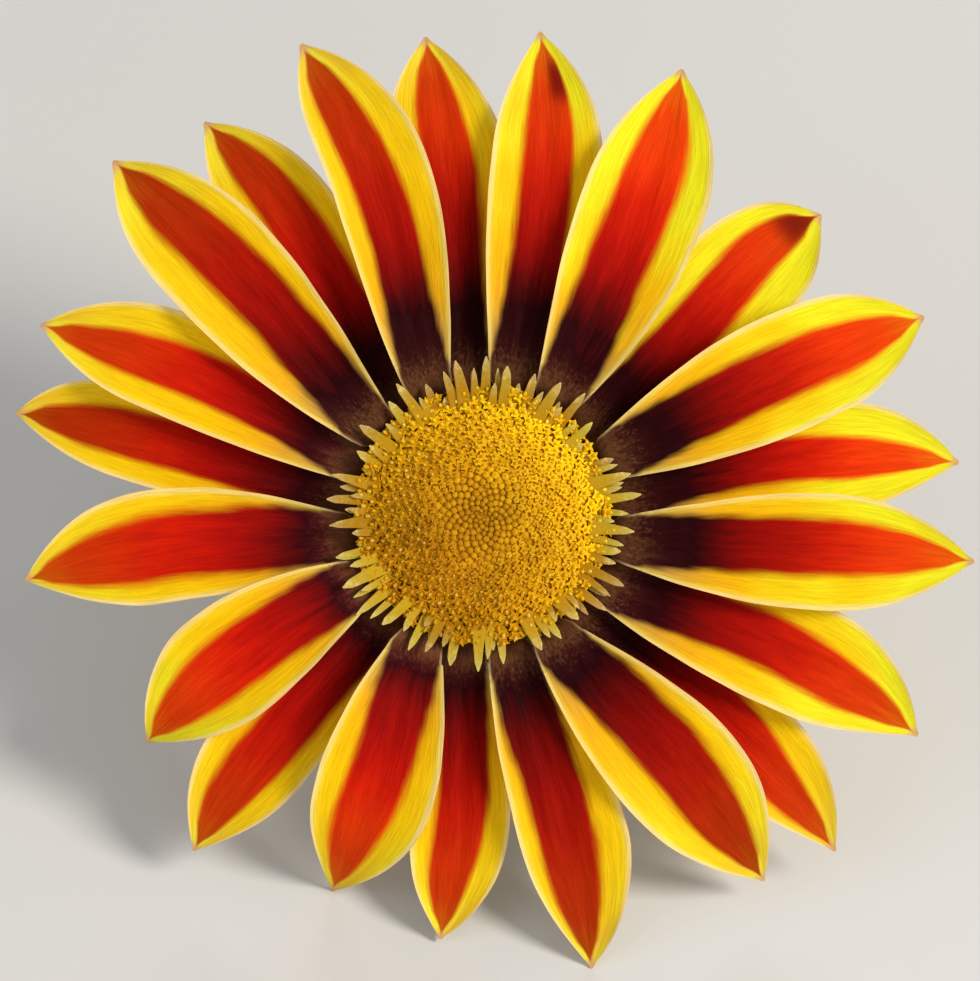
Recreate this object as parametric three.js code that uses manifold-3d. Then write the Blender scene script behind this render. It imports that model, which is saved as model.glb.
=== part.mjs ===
// A picked gazania bloom lying on a table: ray petals, disc, involucre and cut scape.
// Millimetres, +Z up. The bloom leans back on its scape and rests on two petal tips and the cut end.
import * as THREE from 'three';
import { mergeVertices } from 'three/addons/utils/BufferGeometryUtils.js';
import Module from 'manifold-3d';

const wasm = await Module();
wasm.setup();

// ---------------------------------------------------------------- how the bloom lies
const faceTilt = THREE.MathUtils.degToRad(45);  // the face looks this far above the horizon
const headCentre = new THREE.Vector3(-0.887, -24.661, 28.14);  // middle of the head, above the table

// The head's own directions: right, up along the face, and out of the face.
const headRight = new THREE.Vector3(1, 0, 0);
const headUp = new THREE.Vector3(0, Math.sin(faceTilt), Math.cos(faceTilt));
const headOut = new THREE.Vector3(0, -Math.cos(faceTilt), Math.sin(faceTilt));

// ---------------------------------------------------------------- ray petals
const petalThickness = 0.7;
const rootRadius = 10.1;      // where a petal's claw stands, round the disc
const rootDepth = -6.2;       // how far down the claw starts
const bladeRadius = 12.6;     // where the claw has bent over into the blade
const levelStep = 1.35;       // height between the three overlapping levels
const clawHalf = 1.05;        // half width of the claw's foot
const neckHalf = 2.0;         // half width where the blade begins
const widestPlace = 0.58;     // along the blade
const bladeStart = 12.0;      // radius from which the outline's length is counted
const tipHalf = 0.3;          // half width left at the very tip
const neckCup = 0.45;         // how far the edges stand above the midline at the blade's start
const tipCup = 0.35;          // and at its tip
const lookAhead = 0.05;       // step that finds a midline's heading
const angleStations = [14, 28];  // radii at which a petal's direction is given, besides its tip
const straightRadius = 13.5;  // nearer the disc than this a petal runs straight outwards

// One row a petal, clockwise from the top. Directions in degrees at the two stations and at the tip,
// the tip's reach, the blade's half widths on the anticlockwise and the clockwise side, the level
// (0 behind, 2 in front), the tip's height, the blade's arch, how late it bends back, and how full
// the outline stays towards the tip on the anticlockwise and the clockwise side.
const petals = [
  [97.0, 95.0, 96.9, 42.9, 5.3, 5.0, 0, -1.8, 0.8, 3, 3.6, 2.2],
  [77.8, 78.9, 83.3, 43.2, 5.0, 5.0, 1, 0.3, 0.9, 3, 2.6, 2.4],
  [58.5, 62.0, 66.0, 43.2, 5.5, 5.5, 2, 2.0, 1.1, 3, 2.5, 2.6],
  [40.5, 43.0, 41.7, 40.3, 5.1, 5.5, 0, -2.4, 0.6, 3, 3.8, 3.6],
  [24.8, 25.4, 24.3, 42.8, 5.3, 5.3, 2, 1.2, 1.0, 3, 2.8, 3.0],
  [8.3, 9.4, 6.4, 42.6, 5.2, 5.0, 0, -2.0, 0.9, 3, 2.6, 2.2],
  [-9.0, -6.0, -5.3, 43.6, 5.0, 5.3, 2, 1.9, 1.0, 3, 2.2, 2.3],
  [-27.5, -24.2, -26.8, 43.2, 5.3, 5.1, 1, -0.4, 0.9, 3, 2.4, 2.2],
  [-43.3, -40.5, -43.6, 43.3, 4.6, 4.5, 0, -2.6, 0.7, 3, 2.3, 2.2],
  [-58.9, -53.9, -52.4, 41.0, 6.3, 4.9, 2, -3.0, 1.0, 4, 2.2, 2.2],
  [-78.0, -75.0, -76.5, 41.2, 5.2, 4.4, 1, 0.26, 0.9, 3, 2.2, 2.2],
  [-97.7, -93.8, -95.8, 37.8, 4.2, 4.6, 0, -1.3, 0.2, 2, 2.2, 3.0],
  [-116.2, -111.7, -111.9, 36.2, 5.5, 5.1, 2, -6.2, 1.0, 4, 2.2, 2.4],
  [-134.0, -132.0, -130.9, 39.5, 4.0, 5.3, 0, -3.6, 0.3, 3, 2.2, 2.6],
  [-151.8, -148.6, -146.1, 36.1, 4.9, 5.5, 2, -3.0, 1.0, 4, 2.2, 2.2],
  [-172.1, -173.8, -172.0, 41.0, 4.6, 5.5, 1, 0.2, 0.9, 3, 2.2, 2.2],
  [171.1, 167.5, 167.6, 42.6, 4.0, 4.6, 0, -2.2, 0.7, 3, 2.5, 3.4],
  [156.0, 155.1, 156.6, 42.7, 3.9, 5.3, 1, 0.4, 0.9, 3, 3.0, 2.4],
  [140.2, 136.0, 136.2, 45.3, 5.6, 4.8, 2, 1.8, 1.1, 3, 3.4, 2.4],
  [126.3, 123.4, 125.3, 42.9, 4.5, 4.7, 0, -1.9, 0.8, 3, 3.4, 2.4],
  [112.0, 107.7, 111.1, 44.7, 4.0, 4.9, 2, 1.6, 1.0, 3, 4.4, 2.4],
].map(([
  near, middle, tip, reach, leftHalf, rightHalf, level, tipHeight, arch, lateness, leftFull, rightFull,
]) => ({
  directions: [near, middle, tip],
  reach,
  left: { half: leftHalf, fullness: leftFull },
  right: { half: rightHalf, fullness: rightFull },
  lift: (level - 1) * levelStep,
  tipHeight,
  arch,
  lateness,
}));
const clawRows = 3;
const bladeRows = 9;
const petalColumns = 4;

// ---------------------------------------------------------------- disc
const discRadius = 10.1;
const discTop = 4.0;          // height of the core's crown
const discRim = 1.3;          // height of the core's edge
const discFoot = -8.0;
const floretCount = 130;
const floretRadius = 0.56;
const floretHeight = 1.15;    // how far a floret stands out of the core
const pointCount = 34;        // pale points of the open outer florets
const pointReach = 13.3;
const goldenAngle = Math.PI * (3 - Math.sqrt(5));

// ---------------------------------------------------------------- involucre and scape
const cupRadius = 12.7;
const cupRim = -3.8;
const cupFoot = -16.0;
const bractCount = 21;
const scapeRadius = 1.95;
const scapeEndRadius = 1.7;
const scapeSides = 10;
const scapeStraight = 6;      // length under the head that still follows its axis
const scapeLying = 40;        // length behind the curve, down to the cut end
const scapeRise = 1.5;        // how far the curve's foot stays off the table
const scapeDrift = -7;        // how far the cut end has swung sideways
const bendSteps = 9;
const lyingSteps = 7;

// ---------------------------------------------------------------- helpers
const toWorld = (right, up, out) => headCentre.clone()
  .addScaledVector(headRight, right)
  .addScaledVector(headUp, up)
  .addScaledVector(headOut, out);

const geometryFrom = (points, triangles) => {
  const geometry = new THREE.BufferGeometry();
  geometry.setAttribute('position', new THREE.Float32BufferAttribute(points.flat(), 3));
  geometry.setIndex(triangles.flat());
  return geometry;
};

const toManifold = (source) => {
  const geometry = source.clone();
  geometry.deleteAttribute('normal');
  geometry.deleteAttribute('uv');
  const merged = mergeVertices(geometry, 1e-4);
  const vertProperties = new Float32Array(merged.attributes.position.array);
  const triVerts = new Uint32Array(merged.index.array);
  return new wasm.Manifold(new wasm.Mesh({ numProp: 3, vertProperties, triVerts }));
};

const fromManifold = (solid) => {
  const mesh = solid.getMesh();
  const geometry = new THREE.BufferGeometry();
  geometry.setAttribute('position', new THREE.BufferAttribute(mesh.vertProperties, 3));
  geometry.setIndex(new THREE.BufferAttribute(mesh.triVerts, 1));
  return geometry;
};

const joined = (geometries) => {
  let solid = toManifold(geometries[0]);
  for (const geometry of geometries.slice(1)) {
    solid = solid.add(toManifold(geometry));
  }
  return fromManifold(solid);
};

// Rings of points, joined side to side and closed at both ends.
const loft = (rings) => {
  const sides = rings[0].length;
  const points = rings.flat().map((point) => point.toArray());
  const triangles = [];
  for (let row = 0; row + 1 < rings.length; row += 1) {
    for (let side = 0; side < sides; side += 1) {
      const next = (side + 1) % sides;
      const a = row * sides + side;
      const b = row * sides + next;
      triangles.push([a, b, b + sides], [a, b + sides, a + sides]);
    }
  }
  const last = (rings.length - 1) * sides;
  for (let side = 1; side + 1 < sides; side += 1) {
    triangles.push([0, side + 1, side], [last, last + side, last + side + 1]);
  }
  return geometryFrom(points, triangles);
};

// ---------------------------------------------------------------- a ray petal
// The direction of a petal's midline at a radius: a parabola through its three given directions.
const petalAngle = ({ directions, reach }, anyRadius) => {
  const radius = Math.max(anyRadius, straightRadius);
  const radii = [...angleStations, reach];
  let degrees = 0;
  for (let i = 0; i < 3; i += 1) {
    let share = directions[i];
    for (let j = 0; j < 3; j += 1) {
      if (j !== i) {
        share *= (radius - radii[j]) / (radii[i] - radii[j]);
      }
    }
    degrees += share;
  }
  return THREE.MathUtils.degToRad(degrees);
};

// Half the width on one side of a petal: a narrow neck, a belly, a pointed tip.
const outlineHalf = (radius, reach, { half, fullness }) => {
  const along = (radius - bladeStart) / (reach - bladeStart);
  if (along < 0) {
    const climb = (radius - rootRadius) / (bladeStart - rootRadius);
    return THREE.MathUtils.lerp(clawHalf, neckHalf, Math.max(climb, 0) ** 3);
  }
  const rise = Math.sin(0.5 * Math.PI * Math.min(along / widestPlace, 1));
  const past = Math.max(0, (along - widestPlace) / (1 - widestPlace));
  return Math.max(THREE.MathUtils.lerp(neckHalf, half, rise) * (1 - past ** fullness), tipHalf);
};

// The midline seen from the side: a quarter ellipse for the claw, then the blade.
const petalProfile = ({ reach, lift, tipHeight, arch, lateness }, row) => {
  if (row < clawRows) {
    const turn = (0.5 * Math.PI * row) / clawRows;
    const width = bladeRadius - rootRadius;
    const height = lift - rootDepth;
    const radius = bladeRadius - width * Math.cos(turn);
    const out = rootDepth + height * Math.sin(turn);
    return { radius, out, slope: Math.atan2(height * Math.cos(turn), width * Math.sin(turn)), cup: 0 };
  }
  const along = (row - clawRows) / bladeRows;
  const length = reach - bladeRadius;
  const drop = lift - tipHeight;
  const out = lift + arch * Math.sin(Math.PI * along) - drop * along ** lateness;
  const rate = arch * Math.PI * Math.cos(Math.PI * along) - drop * lateness * along ** (lateness - 1);
  const cup = THREE.MathUtils.lerp(neckCup, tipCup, along);
  return { radius: bladeRadius + length * along, out, slope: Math.atan2(rate, length), cup };
};

const rayPetal = (petal) => {
  const rows = clawRows + bladeRows + 1;
  const top = [];
  const bottom = [];
  for (let row = 0; row < rows; row += 1) {
    const { radius, out, slope, cup } = petalProfile(petal, row);
    const here = new THREE.Vector2(radius, 0).rotateAround(new THREE.Vector2(), petalAngle(petal, radius));
    const next = radius + lookAhead;
    const ahead = new THREE.Vector2(next, 0).rotateAround(new THREE.Vector2(), petalAngle(petal, next));
    const along = ahead.sub(here).normalize();
    for (let column = 0; column <= petalColumns; column += 1) {
      const across = (2 * column) / petalColumns - 1;
      const half = outlineHalf(radius, petal.reach, across > 0 ? petal.left : petal.right);
      const edgeLift = cup * across ** 2 * Math.min(1, half / 3);
      for (const [face, offset] of [[top, petalThickness / 2], [bottom, -petalThickness / 2]]) {
        const inward = -Math.sin(slope) * offset;
        const point = toWorld(
          here.x - along.y * half * across + along.x * inward,
          here.y + along.x * half * across + along.y * inward,
          out + edgeLift + Math.cos(slope) * offset,
        );
        point.z = Math.max(point.z, 0);
        face.push(point.toArray());
      }
    }
  }
  return bladeGeometry(top, bottom, rows, petalColumns + 1);
};

// Two like grids, one over the other, joined round their edge.
const bladeGeometry = (top, bottom, rows, columns) => {
  const under = top.length;
  const triangles = [];
  const quad = (a, b, c, d) => triangles.push([a, b, c], [a, c, d]);
  for (let row = 0; row + 1 < rows; row += 1) {
    for (let column = 0; column + 1 < columns; column += 1) {
      const a = row * columns + column;
      const d = a + columns;
      quad(a, d, d + 1, a + 1);
      triangles.push([under + a, under + d + 1, under + d], [under + a, under + a + 1, under + d + 1]);
    }
    const left = row * columns;
    const right = left + columns - 1;
    quad(left, under + left, under + left + columns, left + columns);
    quad(right, right + columns, under + right + columns, under + right);
  }
  const last = (rows - 1) * columns;
  for (let column = 0; column + 1 < columns; column += 1) {
    quad(column, column + 1, under + column + 1, under + column);
    quad(last + column, under + last + column, under + last + column + 1, last + column + 1);
  }
  return geometryFrom([...top, ...bottom], triangles);
};

// ---------------------------------------------------------------- the disc
// Height of the core's surface at a distance from its middle.
const discHeight = (radius) => discRim + (discTop - discRim) * (1 - (radius / discRadius) ** 2);

// A turned shape about the head's axis, from pairs of radius and height.
const turned = (profile, segments) => {
  const points = profile.map(([radius, out]) => new THREE.Vector2(radius, out));
  const geometry = new THREE.LatheGeometry(points, segments);
  const basis = new THREE.Matrix4().makeBasis(headRight.clone().negate(), headOut, headUp);
  basis.setPosition(headCentre);
  return geometry.applyMatrix4(basis);
};

// A small closed peg from one point to another, its radii given at shares of its length.
const peg = (from, to, radii, sides) => {
  const axis = to.clone().sub(from);
  const side = new THREE.Vector3().crossVectors(axis, headRight).normalize();
  const other = new THREE.Vector3().crossVectors(axis, side).normalize();
  const rings = radii.map(([share, radius]) => Array.from({ length: sides }, (_, index) => {
    const turn = (2 * Math.PI * index) / sides;
    return from.clone().addScaledVector(axis, share)
      .addScaledVector(side, radius * Math.cos(turn))
      .addScaledVector(other, radius * Math.sin(turn));
  }));
  return loft(rings);
};

const discHead = () => {
  const core = [[0, discFoot], [8.6, discFoot], [9.2, -4], [9.7, -1], [discRadius, discRim - 0.4]];
  for (let step = 0; step < 3; step += 1) {
    const radius = discRadius * Math.cos((0.5 * Math.PI * step) / 3);
    core.push([radius, discHeight(radius)]);
  }
  core.push([0, discTop]);
  const pieces = [turned(core, 18)];
  for (let index = 0; index < floretCount; index += 1) {
    const radius = (discRadius - floretRadius) * Math.sqrt((index + 0.5) / floretCount);
    const turn = index * goldenAngle;
    const lean = 0.55 * (radius / discRadius);
    const spot = (grow, out) => toWorld((radius + grow) * Math.cos(turn), (radius + grow) * Math.sin(turn), out);
    const foot = spot(-0.8 * lean, discHeight(radius) - 0.8);
    const crown = spot(floretHeight * lean, discHeight(radius) + floretHeight);
    pieces.push(peg(foot, crown, [[0, 0.5], [1, floretRadius]], 5));
  }
  for (let index = 0; index < pointCount; index += 1) {
    const turn = (2 * Math.PI * (index + 0.5)) / pointCount;
    const reach = pointReach - 0.9 * (index % 2);
    const rise = index % 2 ? 0.5 : 0;
    const foot = toWorld(8.9 * Math.cos(turn), 8.9 * Math.sin(turn), 1.1 + rise);
    const tip = toWorld(reach * Math.cos(turn), reach * Math.sin(turn), 3.0 + rise);
    pieces.push(peg(foot, tip, [[0, 0.55], [1, 0.14]], 4));
  }
  return joined(pieces);
};

// ---------------------------------------------------------------- the involucre
const involucreCup = () => {
  const profile = [
    [0, cupFoot], [2.2, cupFoot], [4.6, -15.2], [8.2, -12.9], [11, -9.6], [12.3, -6.6], [cupRadius, cupRim],
    [11.9, cupRim], [11.1, -6.4], [10.6, -8.5], [0, -8.5],
  ];
  const pieces = [turned(profile, 21)];
  for (let row = 0; row < 2; row += 1) {
    for (let index = 0; index < bractCount; index += 1) {
      const turn = (2 * Math.PI * (index + 0.5 * row)) / bractCount;
      const spot = (radius, out) => toWorld(radius * Math.cos(turn), radius * Math.sin(turn), out);
      const foot = row ? spot(11.4, -9.2) : spot(12.1, -6.2);
      const tip = row ? spot(13.6, -5.0) : spot(13.0, -2.4);
      pieces.push(peg(foot, tip, [[0, 0.8], [1, 0.14]], 4));
    }
  }
  return joined(pieces);
};

// ---------------------------------------------------------------- the scape
const scapeStem = () => {
  const flat = scapeEndRadius * Math.cos(Math.PI / scapeSides);
  const start = toWorld(0, 0, cupFoot - 0.3);
  const down = headOut.clone().negate();
  const bendStart = start.clone().addScaledVector(down, scapeStraight);
  const bendRadius = (bendStart.z - flat - scapeRise) / (1 - Math.cos(faceTilt));
  const spine = [start];
  for (let step = 0; step <= bendSteps; step += 1) {
    const turn = faceTilt * (1 - step / bendSteps);
    spine.push(new THREE.Vector3(
      headCentre.x,
      bendStart.y + bendRadius * (Math.sin(faceTilt) - Math.sin(turn)),
      bendStart.z - bendRadius * (Math.cos(turn) - Math.cos(faceTilt)),
    ));
  }
  const bendEnd = spine[spine.length - 1];
  for (let step = 1; step <= lyingSteps; step += 1) {
    const share = step / lyingSteps;
    spine.push(new THREE.Vector3(
      headCentre.x,
      bendEnd.y + scapeLying * share,
      flat + (scapeRise * (1 + Math.cos(Math.PI * share))) / 2,
    ));
  }
  const end = spine[spine.length - 1];
  const rings = spine.map((point, index) => {
    const share = (point.y - start.y) / (end.y - start.y);
    const radius = THREE.MathUtils.lerp(scapeRadius, scapeEndRadius, Math.min(1, index / bendSteps));
    const before = spine[Math.max(index - 1, 0)];
    const after = spine[Math.min(index + 1, spine.length - 1)];
    const along = after.clone().sub(before).normalize();
    const under = new THREE.Vector3().crossVectors(along, headRight).normalize();
    const middle = point.clone().addScaledVector(headRight, scapeDrift * share ** 2);
    return Array.from({ length: scapeSides }, (_, side) => {
      const turn = (2 * Math.PI * (side + 0.5)) / scapeSides - Math.PI / 2;
      const ringPoint = middle.clone()
        .addScaledVector(headRight, radius * Math.cos(turn))
        .addScaledVector(under, radius * Math.sin(turn));
      ringPoint.z = Math.max(ringPoint.z, 0);
      return ringPoint;
    });
  });
  return loft(rings);
};

// ---------------------------------------------------------------- the bloom
const finish = {
  petal: new THREE.MeshStandardMaterial({ color: 0xd8400f, roughness: 0.55, metalness: 0 }),
  disc: new THREE.MeshStandardMaterial({ color: 0xc98f12, roughness: 0.8, metalness: 0 }),
  bract: new THREE.MeshStandardMaterial({ color: 0x55752f, roughness: 0.65, metalness: 0 }),
  scape: new THREE.MeshStandardMaterial({ color: 0x7f9a4c, roughness: 0.6, metalness: 0 }),
};

const bloom = new THREE.Group();
const addPiece = (name, geometry, material) => {
  const mesh = new THREE.Mesh(geometry, material);
  mesh.name = name;
  bloom.add(mesh);
};

addPiece('scape', scapeStem(), finish.scape);
addPiece('involucre', involucreCup(), finish.bract);
addPiece('disc', discHead(), finish.disc);
petals.forEach((petal, index) => {
  addPiece(`ray_${String(index + 1).padStart(2, '0')}`, rayPetal(petal), finish.petal);
});

export default bloom;
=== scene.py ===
import math
import random
from collections import namedtuple
import bpy
from mathutils import Matrix, Vector, noise


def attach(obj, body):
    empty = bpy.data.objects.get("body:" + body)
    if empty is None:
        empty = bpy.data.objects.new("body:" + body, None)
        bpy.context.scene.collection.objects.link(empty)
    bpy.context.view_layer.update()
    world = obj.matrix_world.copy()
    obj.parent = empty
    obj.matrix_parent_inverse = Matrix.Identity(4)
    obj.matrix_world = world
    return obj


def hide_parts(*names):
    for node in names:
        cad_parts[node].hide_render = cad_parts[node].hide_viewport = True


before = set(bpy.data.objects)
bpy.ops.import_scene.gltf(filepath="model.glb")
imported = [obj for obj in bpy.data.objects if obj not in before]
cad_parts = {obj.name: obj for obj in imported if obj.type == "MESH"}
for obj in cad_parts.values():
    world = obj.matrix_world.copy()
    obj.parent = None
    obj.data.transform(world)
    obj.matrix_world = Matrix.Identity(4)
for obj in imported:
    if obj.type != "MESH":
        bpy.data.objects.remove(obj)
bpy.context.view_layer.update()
print("frame loaded,", len(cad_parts), "solids")

mm = 0.001  # sizes below are in millimetres, and turn into metres as points are placed

head = {
    "centre": Vector((-0.887, -24.661, 28.14)),  # middle of the bloom, above the table
    "tilt": math.radians(45),  # how far above the horizon the face looks
}
headRight = Vector((1, 0, 0))
headUp = Vector((0, math.sin(head["tilt"]), math.cos(head["tilt"])))
headOut = Vector((0, -math.cos(head["tilt"]), math.sin(head["tilt"])))


def onHead(right, up, out):
    return head["centre"] + headRight * right + headUp * up + headOut * out


def roundHead(radius, turn, out):  # the same, from a distance and a direction round the disc
    return onHead(radius * math.cos(turn), radius * math.sin(turn), out)


def outwards(turn):  # a direction in the face's plane
    return headRight * math.cos(turn) + headUp * math.sin(turn)


def between(low, high, share):
    return low + (high - low) * share


def smooth(share):
    share = min(max(share, 0.0), 1.0)
    return share * share * (3 - 2 * share)


def wobble(*place):  # soft noise from -1 to 1
    return noise.noise(Vector(place))


# camera and light

view = {
    "middle": (0.62, 2.26),  # point of the face that the lens looks at, right and up of its middle
    "distance": 520.0,
    "width": 87.03,  # of the face's plane, across the picture
    "film": 36.0,
    "clip": (0.01, 20),  # metres
}


def setCamera():
    lens = bpy.data.cameras.new("camera")
    lens.sensor_width = view["film"]
    lens.lens = view["film"] * view["distance"] / view["width"]
    lens.clip_start, lens.clip_end = view["clip"]
    camera = bpy.data.objects.new("camera", lens)
    right, up = view["middle"]
    camera.matrix_world = Matrix.Translation(onHead(right, up, view["distance"]) * mm) @ Matrix(
        (headRight, headUp, headOut)).transposed().to_4x4()
    bpy.context.scene.collection.objects.link(camera)
    bpy.context.scene.camera = camera


sky = {
    "colour": (0.94, 0.97, 1.0, 1),
    "strength": 0.33,
}
lights = [  # name, direction from the head (right, up, out), distance, size, watts, colour
    ("key", (0.8, 0.27, 0.9), 900, 320, 6.6, (1.0, 0.95, 0.87)),
    ("fill", (-0.9, 0.1, 0.9), 1100, 900, 1.7, (0.97, 0.98, 1.0)),
    ("front", (0.1, -0.7, 0.8), 1000, 700, 1.2, (1.0, 0.98, 0.95)),
    ("back", (0.1, 0.9, -0.3), 900, 500, 1.6, (1.0, 0.98, 0.96)),
]


def setLights():
    for name, direction, distance, size, watts, colour in lights:
        lamp = bpy.data.lights.new(name, "AREA")
        lamp.shape = "DISK"
        lamp.size = size * mm
        lamp.energy = watts
        lamp.color = colour
        holder = bpy.data.objects.new(name, lamp)
        toward = onHead(*direction) - head["centre"]
        holder.location = (head["centre"] + toward.normalized() * distance) * mm
        holder.rotation_euler = toward.to_track_quat("Z", "Y").to_euler()
        bpy.context.scene.collection.objects.link(holder)
    world = bpy.data.worlds.new("studio")
    world.use_nodes = True
    background = world.node_tree.nodes["Background"]
    background.inputs["Color"].default_value = sky["colour"]
    background.inputs["Strength"].default_value = sky["strength"]
    bpy.context.scene.world = world
    bpy.context.scene.view_settings.view_transform = "Standard"


# materials

class Value:  # a number in a material's nodes, so that sums on it read as sums
    def __init__(self, finish, socket):
        self.finish, self.socket = finish, socket

    def worked(self, operation, *values):
        return Value(self.finish, self.finish.node(
            "ShaderNodeMath", {"operation": operation}, dict(enumerate(values))).outputs[0])

    def __add__(self, other):
        return self.worked("ADD", self, other)

    def __radd__(self, other):
        return self.worked("ADD", other, self)

    def __sub__(self, other):
        return self.worked("SUBTRACT", self, other)

    def __rsub__(self, other):
        return self.worked("SUBTRACT", other, self)

    def __mul__(self, other):
        return self.worked("MULTIPLY", self, other)

    def __rmul__(self, other):
        return self.worked("MULTIPLY", other, self)

    def __abs__(self):
        return self.worked("ABSOLUTE", self)


class Finish:  # a material under construction
    def __init__(self, name, roughness=0.5, gloss=0.5):
        self.material = bpy.data.materials.new(name)
        self.material.use_nodes = True
        self.tree = self.material.node_tree
        self.tree.nodes.clear()
        self.shader = self.node("ShaderNodeBsdfPrincipled", {}, {
            "Roughness": roughness, "Specular IOR Level": gloss})
        self.node("ShaderNodeOutputMaterial", {}, {"Surface": self.shader.outputs[0]})

    def node(self, kind, settings, values):
        made = self.tree.nodes.new(kind)
        for name, setting in settings.items():
            if name == "stops":
                self.setStops(made.color_ramp.elements, setting)
            else:
                setattr(made, name, setting)
        for name, value in values.items():
            self.put(made.inputs[name], value)
        return made

    def setStops(self, elements, stops):
        while len(elements) < len(stops):
            elements.new(0.5)
        for element, (position, colour) in zip(elements, stops):
            element.position = position
            element.color = (*colour, 1)

    def put(self, socket, value):
        if isinstance(value, Value):
            value = value.socket
        if isinstance(value, bpy.types.NodeSocket):
            self.tree.links.new(value, socket)
        else:
            socket.default_value = value

    def value(self, name):  # what the mesh says at each point
        made = self.node("ShaderNodeAttribute", {"attribute_name": name}, {})
        return Value(self, made.outputs["Fac"])

    def vector(self, x, y, z):
        return self.node("ShaderNodeCombineXYZ", {}, {0: x, 1: y, 2: z}).outputs[0]

    def grey(self, value):
        return self.vector(value, value, value)

    def place(self):
        return self.node("ShaderNodeTexCoord", {}, {}).outputs["Object"]

    def grain(self, vector, scale, detail=2.0, roughness=0.5):
        made = self.node("ShaderNodeTexNoise", {}, {
            "Vector": vector, "Scale": scale, "Detail": detail, "Roughness": roughness})
        return Value(self, made.outputs[0])

    def step(self, value, low, high):  # rises softly from 0 to 1 between low and high
        made = self.node("ShaderNodeMapRange", {"interpolation_type": "SMOOTHSTEP"}, {
            "Value": value, "From Min": low, "From Max": high})
        return Value(self, made.outputs[0])

    def ramp(self, value, stops):
        return self.node("ShaderNodeValToRGB", {"stops": stops}, {0: value}).outputs[0]

    def blend(self, share, first, second, mode="MIX"):
        made = self.node("ShaderNodeMix", {"data_type": "RGBA", "blend_type": mode}, {
            0: share, 6: first, 7: second})
        return made.outputs[2]

    def tinted(self, colour, light):  # a colour times a brightness, or times three of them
        return self.blend(1.0, colour, light, "MULTIPLY")

    def paint(self, colour):
        self.put(self.shader.inputs["Base Color"], colour)

    def roughen(self, roughness):
        self.put(self.shader.inputs["Roughness"], roughness)

    def bump(self, height, depth, strength=1.0):
        made = self.node("ShaderNodeBump", {}, {
            "Height": height, "Distance": depth * mm, "Strength": strength})
        self.put(self.shader.inputs["Normal"], made.outputs[0])


# pieces

creaseAngle = math.radians(50)  # a sharper fold than this shows as an edge


class Shape:  # gathers a piece's points and faces, and the numbers that its materials read
    def __init__(self):
        self.points, self.faces, self.finishes, self.values = [], [], [], {}

    def point(self, place, **values):
        self.points.append(place * mm)
        for name, value in values.items():
            self.values.setdefault(name, []).append(value)
        return len(self.points) - 1

    def face(self, corners, finish=0):
        self.faces.append(corners)
        self.finishes.append(finish)

    def skin(self, rings, finish=0, closed=True):  # quads between rows of points
        for near, far in zip(rings, rings[1:]):
            count = len(near)
            for index in range(count if closed else count - 1):
                after = (index + 1) % count
                self.face((near[index], near[after], far[after], far[index]), finish)

    def fan(self, ring, middle, finish=0):  # closes a ring of points to one in its middle
        for index, corner in enumerate(ring):
            self.face((corner, ring[(index + 1) % len(ring)], middle), finish)

    def made(self, name, finishes, slot, nodes):
        mesh = bpy.data.meshes.new(name)
        mesh.from_pydata(self.points, [], self.faces)
        mesh.polygons.foreach_set("material_index", self.finishes)
        mesh.polygons.foreach_set("use_smooth", [True] * len(self.faces))
        for value, numbers in self.values.items():
            mesh.attributes.new(value, "FLOAT", "POINT").data.foreach_set("value", numbers)
        for finish in finishes:
            mesh.materials.append(finish.material)
        mesh.update()
        mesh.set_sharp_from_angle(angle=creaseAngle)
        piece = bpy.data.objects.new(name, mesh)
        bpy.context.scene.collection.objects.link(piece)
        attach(piece, "root")
        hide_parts(*nodes)
        return piece


# ray petals

petal = {
    "rootRadius": 10.1,  # where a claw stands, round the disc
    "rootDepth": -6.2,
    "bladeRadius": 12.6,  # where the claw has bent over into the blade
    "levelStep": 1.35,  # height between the three overlapping levels
    "clawHalf": 1.05,  # half widths at the claw's foot and where the blade begins
    "neckHalf": 2.0,
    "widest": 0.58,
    "bladeStart": 12.0,
    "stations": (14, 28),  # radii at which a direction is given, besides the tip
    "straight": 13.5,
    "tipHalf": 0.14,
    "neckCup": 0.45,
    "tipCup": 0.35,
    "thickness": 0.36,
    "edge": 0.14,
    "clawRows": 9,
    "bladeRows": 60,
    "columns": 24,
    "crowding": 0.35,  # how much closer the columns stand at the edges
    "uneven": 0.02,  # how much the outline wavers
    "lowest": 0.02,  # no point comes closer to the table than this
    "darkening": 0.06,  # how much further the dark foot reaches on the petals of one side
    "darkSide": math.radians(50),
    "sideRadius": 20,  # where a petal's own direction is read for that
}

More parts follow.
